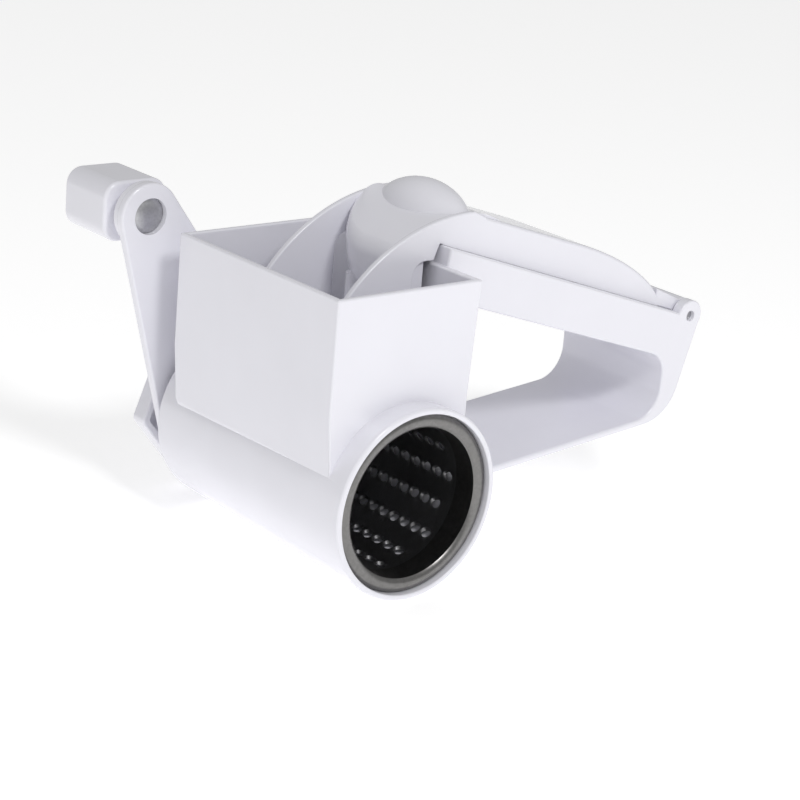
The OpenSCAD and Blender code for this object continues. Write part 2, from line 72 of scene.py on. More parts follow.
def white_plastic(name, tone=(0.885, 0.88, 0.94), gloss=0.24):
    """Polypropylene from a polished mould: glossy, and faintly uneven where it cooled."""
    finish = bpy.data.materials.new(name)
    finish.use_nodes = True
    nodes, links = finish.node_tree.nodes, finish.node_tree.links
    skin = nodes["Principled BSDF"]
    skin.inputs["IOR"].default_value = 1.49
    skin.inputs["Specular IOR Level"].default_value = 0.5
    skin.inputs["Coat Weight"].default_value = 0.3
    skin.inputs["Coat Roughness"].default_value = 0.12
    place = nodes.new("ShaderNodeTexCoord")
    flow = nodes.new("ShaderNodeTexNoise")
    flow.inputs["Scale"].default_value = 38
    flow.inputs["Detail"].default_value = 3
    links.new(place.outputs["Object"], flow.inputs["Vector"])
    colour = nodes.new("ShaderNodeValToRGB")
    colour.color_ramp.elements[0].position = 0.3
    colour.color_ramp.elements[0].color = (*[c * 0.975 for c in tone], 1)
    colour.color_ramp.elements[1].position = 0.7
    colour.color_ramp.elements[1].color = (*tone, 1)
    links.new(flow.outputs["Fac"], colour.inputs["Fac"])
    links.new(colour.outputs["Color"], skin.inputs["Base Color"])
    polish = nodes.new("ShaderNodeMapRange")
    polish.inputs["To Min"].default_value = gloss - 0.05
    polish.inputs["To Max"].default_value = gloss + 0.06
    links.new(flow.outputs["Fac"], polish.inputs["Value"])
    links.new(polish.outputs["Result"], skin.inputs["Roughness"])
    grain = nodes.new("ShaderNodeTexNoise")
    grain.inputs["Scale"].default_value = 1400
    grain.inputs["Detail"].default_value = 2
    links.new(place.outputs["Object"], grain.inputs["Vector"])
    relief = nodes.new("ShaderNodeBump")
    relief.inputs["Strength"].default_value = 0.04
    relief.inputs["Distance"].default_value = 0.0002
    links.new(grain.outputs["Fac"], relief.inputs["Height"])
    links.new(relief.outputs["Normal"], skin.inputs["Normal"])
    return finish


tube_mouth_r, tube_back_r = 33.0, 31.0
tube_len = reach("housing")[1].y
tube_bore_r, mouth_bore_r, mouth_pocket = 28.9, 30.9, 5.0
back_wall, bush_hole_r = 2.5, 9.5
hopper_left, hopper_right, hopper_lean = 32.3, 27.1, 1.7
hopper_near, hopper_far, hopper_top, hopper_wall = 8.7, 95.0, 70.6, 2.2
handle_near, handle_far, handle_wall = 25.35, 78.35, 2.3
arm_near, arm_far, arm_wall = 30.1, 73.6, 2.2
bar_slope, bar_depth = radians(17.7), 17.0
strap_slope, strap_t, strap_z = radians(5), 2.5, -6.6
loop_x = hinge_x - 11
lug_r, lug_w, knuckle_r, pin_hole_r = 5.8, 4.3, 5.6, 2.03
seam_gap = 0.05
round_steps = 128


def beside_seam(x, offset):
    """A point at x on a line that runs beside the seam between bar and press arm."""
    return (x, hinge_z + offset / cos(bar_slope) - (x - hinge_x) * tan(bar_slope))


def beside_strap(x, offset):
    """A point at x on a line that runs beside the strap's upper face."""
    return (x, strap_z + offset + (x - tube_mouth_r) * tan(strap_slope))


def arc(x, z, r, start, end, steps):
    """Points on a circle about x, z, from one angle to another in degrees."""
    turns = [radians(start + (end - start) * i / steps) for i in range(steps + 1)]
    return [(x + r * cos(a), z + r * sin(a)) for a in turns]


def disc(x, z, r, count=60):
    """Points all the way round a circle about x, z."""
    return arc(x, z, r, 0, 360 - 360 / count, count - 1)


def corners(points, radii, steps=10):
    """An outline whose corners are rounded, each to its own radius."""
    outline = []
    for i, (point, r) in enumerate(zip(points, radii)):
        here = Vector(point)
        if r == 0:
            outline.append(tuple(here))
            continue
        back = (Vector(points[i - 1]) - here).normalized()
        ahead = (Vector(points[(i + 1) % len(points)]) - here).normalized()
        half = back.angle(ahead) / 2
        middle = here + (back + ahead).normalized() * r / sin(half)
        a, b = [here + side * r / tan(half) - middle for side in (back, ahead)]
        first = atan2(a.y, a.x)
        sweep = (atan2(b.y, b.x) - first + pi) % (2 * pi) - pi
        for k in range(steps + 1):
            turn = first + sweep * k / steps
            outline.append((middle.x + r * cos(turn), middle.y + r * sin(turn)))
    return outline


def only(piece):
    """Selects this piece alone and makes it the active one."""
    bpy.ops.object.select_all(action="DESELECT")
    piece.select_set(True)
    bpy.context.view_layer.objects.active = piece


def ring_of(name, count):
    """A closed ring of loose edges, to be set out as an outline."""
    bpy.ops.object.select_all(action="DESELECT")
    bpy.ops.mesh.primitive_circle_add(vertices=count, radius=MM)
    piece = bpy.context.object
    piece.name = name
    return piece


def slab(name, outline, near, far):
    """An outline in x and z, filled and pulled out along y."""
    piece = ring_of(name, len(outline))
    for vertex, (x, z) in zip(piece.data.vertices, outline):
        vertex.co = at(x, near, z) - piece.location
    bpy.ops.object.mode_set(mode="EDIT")
    bpy.ops.mesh.select_all(action="SELECT")
    bpy.ops.mesh.edge_face_add()
    bpy.ops.mesh.extrude_region_move(TRANSFORM_OT_translate={"value": (0, (far - near) * MM, 0)})
    bpy.ops.mesh.select_all(action="SELECT")
    bpy.ops.mesh.normals_make_consistent(inside=False)
    bpy.ops.object.mode_set(mode="OBJECT")
    return piece


def turned(name, profile, x=0, z=0, steps=round_steps):
    """A closed profile of (radius, y) spun about a line along y."""
    piece = ring_of(name, len(profile))
    for vertex, (r, y) in zip(piece.data.vertices, profile):
        vertex.co = at(x + r, y, z) - piece.location
    bpy.ops.object.mode_set(mode="EDIT")
    bpy.ops.mesh.select_all(action="SELECT")
    bpy.ops.mesh.spin(steps=steps, angle=2 * pi, use_auto_merge=True, center=at(x, 0, z),
                      axis=(0, 1, 0))
    bpy.ops.mesh.select_all(action="SELECT")
    bpy.ops.mesh.remove_doubles(threshold=MM / 1000)
    bpy.ops.mesh.dissolve_degenerate(threshold=MM / 1000)
    bpy.ops.mesh.normals_make_consistent(inside=False)
    bpy.ops.object.mode_set(mode="OBJECT")
    return piece


def soften(piece, width, segments=3):
    """Rounds the sharp edges, as a mould's own rounded corners leave them."""
    only(piece)
    edge = piece.modifiers.new("edge", "BEVEL")
    edge.width = width * MM
    edge.segments = segments
    edge.limit_method = "ANGLE"
    edge.angle_limit = radians(30)
    edge.use_clamp_overlap = True
    bpy.ops.object.modifier_apply(modifier=edge.name)


def shape(piece, tool, how):
    """Joins a solid to the piece, cuts it away, or keeps what both share."""
    only(piece)
    work = piece.modifiers.new("work", "BOOLEAN")
    work.operation = how
    work.object = tool
    work.solver = "MANIFOLD"
    bpy.ops.object.modifier_apply(modifier=work.name)
    bpy.data.objects.remove(tool)


def finished(piece, material, body, slot, *nodes):
    """Smooths the skin, paints it, and hands the piece to its body."""
    only(piece)
    bpy.ops.object.mode_set(mode="EDIT")
    bpy.ops.mesh.select_all(action="SELECT")
    bpy.ops.mesh.remove_doubles(threshold=MM / 500)
    bpy.ops.mesh.dissolve_degenerate(threshold=MM / 500)
    bpy.ops.mesh.delete_loose(use_verts=True, use_edges=True, use_faces=False)
    bpy.ops.mesh.select_all(action="SELECT")
    bpy.ops.mesh.fill_holes(sides=12)
    bpy.ops.object.mode_set(mode="OBJECT")
    bpy.ops.object.transform_apply(location=True, rotation=True, scale=True)
    bpy.ops.object.shade_smooth_by_angle(angle=radians(32))
    even = piece.modifiers.new("even", "WEIGHTED_NORMAL")
    even.keep_sharp = True
    bpy.ops.object.modifier_apply(modifier=even.name)
    piece.data.materials.clear()
    piece.data.materials.append(material)
    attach(piece, body)
    if nodes:
        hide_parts(*nodes)


mouth_lip, back_round, lip_steps = 1.0, 1.4, 5
tube_profile = [(0, 0)]
tube_profile += arc(tube_mouth_r - mouth_lip, mouth_lip, mouth_lip, -90, 0, lip_steps)
tube_profile += arc(tube_back_r - back_round, tube_len - back_round, back_round, 0, 90, lip_steps)
tube_profile += [(0, tube_len)]
shell = turned("housing_shell", tube_profile)

bar_drop, riser_w, heel_lift = 1.5, 5.6, 0.4
loop_root_x, strap_root_x = 10, 15
heel_round, loop_high_round, loop_low_round = 17, 9, 12
handle_edge, lug_edge = 0.9, 0.6
cut_past = 5
handle_outline = corners([
    (0, hopper_top / 2),
    (hopper_right - hopper_wall / 2, hopper_top - bar_drop),
    beside_seam(hopper_right, -seam_gap),
    beside_seam(hinge_x - lug_r, -seam_gap),
    (hinge_x + 0.98 * lug_r, hinge_z - 0.2 * lug_r),
    (loop_x + riser_w, beside_strap(loop_x, -strap_t)[1] + heel_lift),
    beside_strap(strap_root_x, -strap_t),
], [0, 0, 0, 0, 0, heel_round, 0])
loop_outline = corners([
    beside_seam(loop_root_x, -bar_depth),
    beside_seam(loop_x, -bar_depth),
    beside_strap(loop_x, 0),
    beside_strap(loop_root_x, 0),
], [0, loop_high_round, loop_low_round, 0])
handle = slab("handle", handle_outline, handle_near, handle_far)
loop = slab("loop", loop_outline, handle_near - cut_past, handle_far + cut_past)
shape(handle, loop, "DIFFERENCE")
soften(handle, handle_edge)
for near in (handle_near, handle_far - lug_w):
    lug = slab("lug", disc(hinge_x, hinge_z, lug_r), near, near + lug_w)
    soften(lug, lug_edge)
    shape(handle, lug, "UNION")
shape(shell, handle, "UNION")

wall_bend_z, hopper_foot_x = 0.45 * hopper_top, 0.86 * tube_bore_r
wall_foot_x, wall_foot_z = 0.95 * hopper_left, 0.36 * tube_mouth_r
hollow_low, above_rim, well_spare, hopper_edge = 0.3 * tube_mouth_r, 20, 0.3, 0.75


def hopper_section(inset, low, top):
    """The hopper across the tube; an inset wall gives its inside."""
    right = hopper_right - inset
    return [
        (-hopper_left + inset, top),
        (-hopper_left + inset, wall_bend_z),
        (-wall_foot_x + inset, wall_foot_z),
        (-hopper_foot_x, low),
        (right - hopper_lean, low),
        (right - hopper_lean, wall_bend_z),
        (right, top),
    ]


well_wall = hopper_wall - well_spare
well = slab("well", hopper_section(well_wall, hollow_low, hopper_top + above_rim),
            hopper_near + well_wall, hopper_far - well_wall)
shape(shell, well, "DIFFERENCE")
hopper = slab("hopper", hopper_section(0, 0, hopper_top), hopper_near, hopper_far)
hollow = slab("hollow", hopper_section(hopper_wall, hollow_low, hopper_top + above_rim),
              hopper_near + hopper_wall, hopper_far - hopper_wall)
shape(hopper, hollow, "DIFFERENCE")
soften(hopper, hopper_edge)
shape(shell, hopper, "UNION")

bore_lip, past_end = 0.5, 3
end_inside = tube_len - back_wall
bore_profile = [(0, -past_end), (mouth_bore_r + bore_lip, -past_end)]
bore_profile += arc(mouth_bore_r + bore_lip, bore_lip, bore_lip, -90, -180, 4)
bore_profile += [
    (mouth_bore_r, mouth_pocket),
    (tube_bore_r, mouth_pocket),
    (tube_bore_r, end_inside),
    (bush_hole_r, end_inside),
    (bush_hole_r, tube_len + past_end),
    (0, tube_len + past_end),
]
shape(shell, turned("bore", bore_profile), "DIFFERENCE")

ledge_t, ledge_in, over_seam, end_block = 2.4, 0.5, 1, 2.5
hollow_start, hollow_end = hopper_right + handle_wall, hinge_x - lug_r - end_block


def bar_hollow(top):
    """The bar's inside, open upwards, seen from the side."""
    return [
        beside_seam(hollow_start, top),
        beside_seam(hollow_end, top),
        beside_seam(hollow_end, -bar_depth + handle_wall),
        beside_seam(hollow_start, -bar_depth + handle_wall),
    ]


bar_mouth = slab("bar_mouth", bar_hollow(over_seam), arm_near + arm_wall + ledge_in,
                 arm_far - arm_wall - ledge_in)
shape(shell, bar_mouth, "DIFFERENCE")
bar_room = slab("bar_room", bar_hollow(-seam_gap - ledge_t), handle_near + handle_wall,
                handle_far - handle_wall)
shape(shell, bar_room, "DIFFERENCE")
knuckle_room = slab("knuckle_room", disc(hinge_x, hinge_z, knuckle_r + 2 * seam_gap),
                    arm_near - seam_gap, arm_far + seam_gap)
shape(shell, knuckle_room, "DIFFERENCE")
pin_hole = slab("pin_hole", disc(hinge_x, hinge_z, pin_hole_r, 36), handle_near - 2, handle_far + 2)
shape(shell, pin_hole, "DIFFERENCE")
finished(shell, white_plastic("housing_white"), "housing", "white_plastic", "housing")

# ---------------------------------------------------------------------------------------
# The press arm: a channel moulding with two rounded side walls that drop into the hopper,
# a smooth nose between them, and a low dome on top for the thumb. It is closed over the
# bar and swings up on the pin behind the handle.
arm_h, arm_fall = 13.2, 40.0
fin_x, fin_z, fin_r = 40.5, 18.8, 68.0
nose_x, nose_z, nose_r = 35.7, 71.5, 25.5
dome_x, dome_z, dome_r, dome_end_r = 36.8, 81.9, 11.6, 4.0
roof_x, roof_z, roof_r, nose_front, nose_turn = 37.0, 50.7, 35.5, 10.2, 12.7
ridge_r, ridge_z = 8.5, 71.0
fall_end = hinge_x - lug_r - 6.2
plate_seat_r, seat_clear, arm_bush_r = 32.5, 0.03, 2.93
notch_z, notch_round, fin_inner_x, nose_low_x, bar_gap = hopper_top + 1.1, 5, 15.6, 21, 0.7
arm_edge, fin_edge, knuckle_edge, web_edge = 1.1, 0.6, 0.4, 0.5
arm_low, channel_low, far_past = -4, -1, 20
half_seam = seam_gap / 2
middle_y = (arm_near + arm_far) / 2


def arm_outline(inset, low):
    """The arm from the side: level along the bar, then rounded down to the hinge."""
    steps = 16
    outline = [beside_seam(hopper_right - 2, low)]
    for i in range(steps + 1):
        a = pi / 2 * i / steps
        along = fall_end - inset - (arm_fall - inset) * (1 - cos(a))
        outline.append(beside_seam(along, (arm_h - inset) * sin(a) + (low if i == 0 else 0)))
    return outline + [
        beside_seam(fin_x + 1, arm_h - inset - 0.6),
        beside_seam(nose_r + 4, 0.4 * arm_h),
    ]


def barrel(name, r_mid, r_end, half, x, z):
    """A barrel along y with a crowned side."""
    sag = r_mid - r_end
    crown = (half * half + sag * sag) / (2 * sag)
    reach_a = asin(half / crown)
    side = [(r_mid - crown + crown * cos(a), middle_y + crown * sin(a))
            for a in [reach_a * i / 10 for i in range(-10, 11)]]
    return turned(name, [(0, middle_y - half), *side, (0, middle_y + half)], x, z, 96)


def head(inset):
    """The nose, level on top and drawn in towards the far side wall, with its dome."""
    half = (arm_far - arm_near) / 2 - arm_wall + (fin_edge if inset == 0 else 0)
    ridge = arc(nose_front + ridge_r + inset, ridge_z, ridge_r, 133, 185, 8)
    outline = arc(roof_x, roof_z, roof_r - inset, 62, 122, 22) + ridge
    outline += arc(nose_x, nose_z, nose_r - inset, 192, 270, 18)
    outline += [(nose_x + 2 * nose_r, nose_z - nose_r + inset)]
    steps = 14
    nose = slab("nose", outline, middle_y - half, middle_y - half + 2 * half / steps)
    bpy.ops.object.mode_set(mode="EDIT")
    bpy.ops.mesh.select_all(action="DESELECT")
    bpy.ops.object.mode_set(mode="OBJECT")
    last_y = max(vertex.co.y for vertex in nose.data.vertices)
    for face in nose.data.polygons:
        face.select = all(last_y - nose.data.vertices[i].co.y < MM / 100 for i in face.vertices)
    bpy.ops.object.mode_set(mode="EDIT")
    bpy.ops.mesh.select_mode(type="FACE")
    for _ in range(steps - 1):
        bpy.ops.mesh.extrude_region_move(
            TRANSFORM_OT_translate={"value": (0, 2 * half / steps * MM, 0)})
    bpy.ops.object.mode_set(mode="OBJECT")
    bend_r = (half * half + nose_turn ** 2) / (2 * nose_turn)
    for vertex in nose.data.vertices:
        spot = (vertex.co + nose.location - mouth) / MM
        drawn_in = bend_r - sqrt(bend_r ** 2 - max(0, spot.y - middle_y) ** 2)
        share = min(1, max(0, (roof_x - spot.x) / (roof_x - nose_front)))
        vertex.co += Vector((drawn_in * share, 0, 0.55 * drawn_in * share)) * MM
    dome = barrel("dome", dome_r - inset, dome_end_r - 0.4 * inset, half, dome_x, dome_z)
    shape(nose, dome, "UNION")
    return nose


arm = slab("press_arm_shell", arm_outline(0, arm_low), arm_near, arm_far)
soften(arm, arm_edge)
under = [
    beside_seam(-2 * far_past, half_seam),
    beside_seam(hinge_x + far_past, half_seam),
    (hinge_x + far_past, 0),
    (-2 * far_past, 0),
]
shape(arm, slab("under", under, handle_near, handle_far), "DIFFERENCE")
shape(arm, head(0), "UNION")
channel = slab("channel", arm_outline(arm_wall, channel_low), arm_near + arm_wall,
               arm_far - arm_wall)
shape(arm, channel, "DIFFERENCE")
shape(arm, head(arm_wall), "DIFFERENCE")
below = [
    (nose_low_x, 0),
    (nose_low_x, notch_z),
    beside_seam(nose_low_x, half_seam),
    beside_seam(nose_x + 2 * nose_r, half_seam),
    (nose_x + 2 * nose_r, 0),
]
shape(arm, slab("below", below, handle_near, handle_far), "DIFFERENCE")

fin_left = -hopper_left + hopper_wall + 2.2
fin_foot_z = sqrt(plate_seat_r ** 2 - fin_left ** 2)
fin_outline = [
    beside_seam(hopper_right + 14, half_seam),
    beside_seam(fin_x + 6, arm_h - 0.5),
]
fin_outline += [p for p in arc(fin_x, fin_z, fin_r, 90, 172, 52) if p[0] > fin_left]
fin_outline += [(fin_left, fin_foot_z)]
fin_outline += arc(0, 0, plate_seat_r, degrees(atan2(fin_foot_z, fin_left)),
                   degrees(acos(fin_inner_x / plate_seat_r)), 16)
fin_outline += corners([
    (fin_inner_x, fin_z),
    (fin_inner_x, notch_z),
    (hopper_right, notch_z),
], [0, notch_round, 0])[1:-1]
fin_outline += [
    (hopper_right - bar_gap - hopper_wall, notch_z),
    beside_seam(hopper_right - bar_gap, half_seam),
]
for near in (arm_near, arm_far - arm_wall):
    fin = slab("fin", fin_outline, near, near + arm_wall)
    soften(fin, fin_edge)
    shape(arm, fin, "UNION")
knuckle = slab("knuckle", disc(hinge_x, hinge_z, knuckle_r), arm_near, arm_far)
soften(knuckle, knuckle_edge)
shape(arm, knuckle, "UNION")
web_x = fall_end - 2
web = slab("web", [
    (hinge_x - 0.2 * knuckle_r, hinge_z + 0.9 * knuckle_r),
    beside_seam(web_x, 0.45 * arm_h),
    beside_seam(web_x, half_seam),
    beside_seam(hinge_x - 0.8 * knuckle_r, half_seam),
], arm_near, arm_far)
soften(web, web_edge)
shape(arm, web, "UNION")


def upright(x, y, r, low, top, count):
    """A round post that stands along z."""
    bpy.ops.object.select_all(action="DESELECT")
    bpy.ops.mesh.primitive_cylinder_add(vertices=count, radius=r * MM, depth=(top - low) * MM,
                                        location=at(x, y, (low + top) / 2))
    return bpy.context.object


post_x, post_r, post_reach, post_steps = 15.5, 3.0, 8, 48
post_low = sqrt(plate_seat_r ** 2 - (post_x - post_r) ** 2) + seat_clear
post_top = nose_z - sqrt(nose_r ** 2 - (nose_x - post_x + post_r) ** 2)
for y in (middle_y - post_reach, middle_y + post_reach):
    shape(arm, upright(post_x, y, post_r, post_low, post_top, post_steps), "UNION")
bush_hole = slab("bush_hole", disc(hinge_x, hinge_z, arm_bush_r), handle_near, handle_far)
shape(arm, bush_hole, "DIFFERENCE")
finished(arm, white_plastic("arm_white"), "press_arm", "white_plastic", "press_arm")

# ---------------------------------------------------------------------------------------
# The turned steel pieces: the plain pin behind the handle, the two bushes pressed into the
# arm's knuckle, the drum's shaft, and the screws, washer, rivets and spring clip. They are
# bright bars cut on a lathe, left as they came.
def steel(name, tone, gloss, turn_scale=(1, 1, 1)):
    """Bare metal with fine marks left by the tool that cut or rolled it."""
    finish = bpy.data.materials.new(name)
    finish.use_nodes = True
    nodes, links = finish.node_tree.nodes, finish.node_tree.links
    skin = nodes["Principled BSDF"]
    skin.inputs["Metallic"].default_value = 1.0
    place = nodes.new("ShaderNodeTexCoord")
    spread = nodes.new("ShaderNodeMapping")
    spread.inputs["Scale"].default_value = turn_scale
    links.new(place.outputs["Object"], spread.inputs["Vector"])
    marks = nodes.new("ShaderNodeTexNoise")
    marks.inputs["Scale"].default_value = 900
    marks.inputs["Detail"].default_value = 4
    links.new(spread.outputs["Vector"], marks.inputs["Vector"])
    colour = nodes.new("ShaderNodeValToRGB")
    colour.color_ramp.elements[0].position = 0.25
    colour.color_ramp.elements[0].color = (*[c * 0.78 for c in tone], 1)
    colour.color_ramp.elements[1].position = 0.75
    colour.color_ramp.elements[1].color = (*tone, 1)
    links.new(marks.outputs["Fac"], colour.inputs["Fac"])
    links.new(colour.outputs["Color"], skin.inputs["Base Color"])
    polish = nodes.new("ShaderNodeMapRange")
    polish.inputs["To Min"].default_value = gloss - 0.07
    polish.inputs["To Max"].default_value = gloss + 0.1
    links.new(marks.outputs["Fac"], polish.inputs["Value"])
    links.new(polish.outputs["Result"], skin.inputs["Roughness"])
    relief = nodes.new("ShaderNodeBump")
    relief.inputs["Strength"].default_value = 0.08
    relief.inputs["Distance"].default_value = 0.0001
    links.new(marks.outputs["Fac"], relief.inputs["Height"])
    links.new(relief.outputs["Normal"], skin.inputs["Normal"])
    return finish


def paint(node, material):
    """A CAD piece whose shape is already right takes the finish."""
    piece = frame["nodes"][node]
    piece.data.materials.clear()
    piece.data.materials.append(material)


turned_steel = steel("turned_steel", (0.56, 0.56, 0.57), 0.32, (1, 6, 1))
for node in ("hinge_pin", "arm_bushes", "plate_screws", "crank_washer", "crank_screw",
             "knob_clip", "drive_shaft", "hub_rivets"):
    paint(node, turned_steel)

# ---------------------------------------------------------------------------------------
# The presser plate: a thin curved moulding that pushes the cheese onto the drum. It is
# screwed to the two posts under the nose and has softened edges all round.
plate_low, plate_high = reach("presser_plate")
plate_inner_r, plate_edge, plate_steps = 29.5, 0.7, 28
pad_low, pad_wall, screw_hole_r, screw_head_r = 28, 0.6, 1.53, 2.83
head_seat_r, head_r, head_depth, above_plate, hole_steps = 28.6, 2.8, 1.6, 60, 40
plate_outline = arc(0, 0, plate_seat_r, degrees(acos(plate_low.x / plate_seat_r)),
                    degrees(acos(plate_high.x / plate_seat_r)), plate_steps)
plate_outline += arc(0, 0, plate_inner_r, degrees(acos(plate_high.x / plate_inner_r)),
                     degrees(acos(plate_low.x / plate_inner_r)), plate_steps)
presser = slab("presser_plate_curved", plate_outline, plate_low.y, plate_high.y)
soften(presser, plate_edge)
head_low = sqrt(head_seat_r ** 2 - (post_x - head_r) ** 2)
for y in (middle_y - post_reach, middle_y + post_reach):
    pad = upright(post_x, y, post_r + pad_wall, pad_low, post_low - seat_clear, post_steps)
    shape(presser, pad, "UNION")
    for hole_r, top in ((screw_hole_r, above_plate), (screw_head_r, head_low + head_depth)):
        shape(presser, upright(post_x, y, hole_r, 0, top, hole_steps), "DIFFERENCE")
finished(presser, white_plastic("plate_white"), "press_arm", "white_plastic", "presser_plate")

# ---------------------------------------------------------------------------------------
# The grating drum: a rolled sheet of thin steel with rows of small oval holes, each
# punched from the inside so that its lip stands up as a tooth. Rows are staggered.
drum_r, drum_t, tooth_h = 27.0, 0.6, 1.1
rows, teeth, hole_points = 16, 14, 12
teeth_start, teeth_span = 16.0, 78.0
shell_low, shell_high = reach("drum_shell")
pitch = teeth_span / teeth
cell_w = 2 * pi * drum_r / rows
hole_w, hole_l, bent = 1.7, 1.9, 1.4
weld_gap = 0.03


def drum_ring_at(name, points):
    """A loose ring of the drum's sheet laid out flat: x round the drum, y along it, z out."""
    ring = ring_of(name, len(points))
    ring.location = (0, 0, 0)
    for vertex, point in zip(ring.data.vertices, points):
        vertex.co = Vector(point) * MM
    return ring


def bridged(inner, outer):
    """Two rings joined by a strip of faces; the outer one stays open."""
    only(inner)
    outer.select_set(True)
    bpy.ops.object.join()
    bpy.ops.object.mode_set(mode="EDIT")
    bpy.ops.mesh.select_mode(type="EDGE")
    bpy.ops.mesh.select_all(action="SELECT")
    bpy.ops.mesh.bridge_edge_loops()
    bpy.ops.object.mode_set(mode="OBJECT")
    return inner


around = [2 * pi * i / hole_points for i in range(hole_points)]
side, end = cell_w / 2, pitch / 2
cutting_edge = [(hole_w * cos(a), hole_l * sin(a), tooth_h * (0.4 + 0.6 * max(0, cos(a))))
                for a in around]
bend = [(bent * hole_w * cos(a), bent * hole_l * sin(a), 0) for a in around]
border = [
    (side, 0, 0), (side, end, 0), (side / 2, end, 0),
    (0, end, 0), (-side / 2, end, 0), (-side, end, 0),
    (-side, 0, 0), (-side, -end, 0), (-side / 2, -end, 0),
    (0, -end, 0), (side / 2, -end, 0), (side, -end, 0),
]
sheet = bridged(drum_ring_at("grating_drum", cutting_edge), drum_ring_at("bend", bend))
flat = bridged(drum_ring_at("flat", bend), drum_ring_at("border", border))
only(sheet)
flat.select_set(True)
bpy.ops.object.join()


def row_of(piece, count, step):
    """Repeats the piece in a straight row and welds the copies together."""
    only(piece)
    row = piece.modifiers.new("row", "ARRAY")
    row.count = count
    row.use_relative_offset = False
    row.use_constant_offset = True
    row.constant_offset_displace = Vector(step) * MM
    row.use_merge_vertices = True
    row.merge_threshold = 0.02 * MM
    bpy.ops.object.modifier_apply(modifier=row.name)


def band(x, low, high):
    """A plain strip of the sheet, one cell wide, joined to the rest."""
    bpy.ops.object.select_all(action="DESELECT")
    bpy.ops.mesh.primitive_grid_add(x_subdivisions=4, y_subdivisions=1, size=1, location=(0, 0, 0))
    strip = bpy.context.object
    for vertex in strip.data.vertices:
        across, along, _ = vertex.co
        vertex.co = Vector((x + across * cell_w, (low + high) / 2 + along * (high - low), 0)) * MM
    sheet.select_set(True)
    bpy.context.view_layer.objects.active = sheet
    bpy.ops.object.join()


def weld(piece):
    """Merges the points that meet and turns every face outwards."""
    only(piece)
    bpy.ops.object.mode_set(mode="EDIT")
    bpy.ops.mesh.select_mode(type="VERT")
    bpy.ops.mesh.select_all(action="SELECT")
    bpy.ops.mesh.remove_doubles(threshold=weld_gap * MM)
    bpy.ops.mesh.normals_make_consistent(inside=False)
    bpy.ops.object.mode_set(mode="OBJECT")


# One tooth becomes a column, two staggered columns a pair, and eight pairs the whole sheet,
# which is then rolled round the drum's axis and given its thickness.
for vertex in sheet.data.vertices:
    vertex.co.y += teeth_start * MM
row_of(sheet, teeth, (0, pitch, 0))
staggered = sheet.copy()
staggered.data = sheet.data.copy()
bpy.context.scene.collection.objects.link(staggered)
for vertex in staggered.data.vertices:
    vertex.co += Vector((cell_w, end, 0)) * MM
only(sheet)
staggered.select_set(True)
bpy.ops.object.join()
teeth_end = teeth_start + teeth_span
for x in (0, cell_w):
    band(x, shell_low.y, teeth_start - end)
    band(x, teeth_end, shell_high.y)
band(0, teeth_end - end, teeth_end)
band(cell_w, teeth_start - end, teeth_start)
row_of(sheet, rows // 2, (2 * cell_w, 0, 0))
for vertex in sheet.data.vertices:
    turn = vertex.co.x / (drum_r * MM)
    out = drum_r * MM - drum_t * MM / 2 + vertex.co.z
    vertex.co = mouth + Vector((out * cos(turn), vertex.co.y, out * sin(turn)))
weld(sheet)
only(sheet)
wall = sheet.modifiers.new("wall", "SOLIDIFY")
wall.thickness = drum_t * MM
wall.offset = 0
bpy.ops.object.modifier_apply(modifier=wall.name)
rolled_steel = steel("rolled_steel", (0.42, 0.42, 0.43), 0.3, (1, 12, 1))
finished(sheet, rolled_steel, "drum_and_crank", "drum_steel", "drum_shell")

# ---------------------------------------------------------------------------------------
# The drum's ends: at the mouth a pressed ring, faintly crowned, whose sleeve is spot-welded
# inside the sheet, at the back a disc riveted to a black moulded hub with a square socket.
# The hub turns with the shaft in a natural white bush in the tube's back wall.
ring_r, ring_inner, sleeve_r = 30.5, 25.9, 26.37
ring_low, ring_high = [corner.y for corner in reach("drum_ring")]
ring_t, bead_r, bead_from, bead_to = 1.6, 3.15, -136.9, -43.1
ring_profile = arc((ring_inner + ring_r) / 2, ring_low + bead_r, bead_r, bead_from, bead_to, 12)
ring_profile += [
    (ring_r, ring_low + ring_t),
    (sleeve_r, ring_low + ring_t),
    (sleeve_r, ring_high),
    (ring_inner, ring_high),
]
mouth_ring = turned("drum_mouth_ring", ring_profile)
satin_ring = steel("satin_ring", (0.25, 0.245, 0.24), 0.3)
finished(mouth_ring, satin_ring, "drum_and_crank", "drum_steel", "drum_ring")
paint("drum_end_plate", rolled_steel)
paint("drum_hub", white_plastic("hub_black", (0.03, 0.03, 0.035), 0.5))
paint("rear_bush", white_plastic("bush_natural", (0.66, 0.66, 0.62), 0.42))

# ---------------------------------------------------------------------------------------
# The crank: one flat moulding in the same white plastic, a wide hub that narrows to the
# knob's boss, with every edge rounded. A screw and washer hold it on the shaft.
knob_x, knob_z = [(turning["knob_spin"] - mouth)[i] / MM for i in (0, 2)]
hub_r, boss_r, crank_len, crank_angle = 26.5, 11.5, 81.5, 116.0
crank_y, lever_t, boss_t, hub_core_r = 107.5, 3.6, 6.0, 18.0
crank_end = reach("crank_arm")[1].y
shaft_r, shaft_grip, shank_r = 7.53, 5.0, 2.03
spindle_r, spindle_head_r, spindle_head_depth, slack = 4.0, 6.2, 3.0, 0.15
crank_edge, stud_edge, stud_root, boss_in, past_face = 0.9, 0.6, 1.2, 0.3, 1
flare = degrees(asin((hub_r - boss_r) / crank_len))
crank_outline = arc(0, 0, hub_r, crank_angle + 90 - flare, crank_angle + 270 + flare, 64)
crank_outline += arc(knob_x, knob_z, boss_r, crank_angle - 90 + flare, crank_angle + 90 - flare, 32)
crank = slab("crank_lever", crank_outline, crank_y, crank_y + lever_t)
soften(crank, crank_edge, 4)
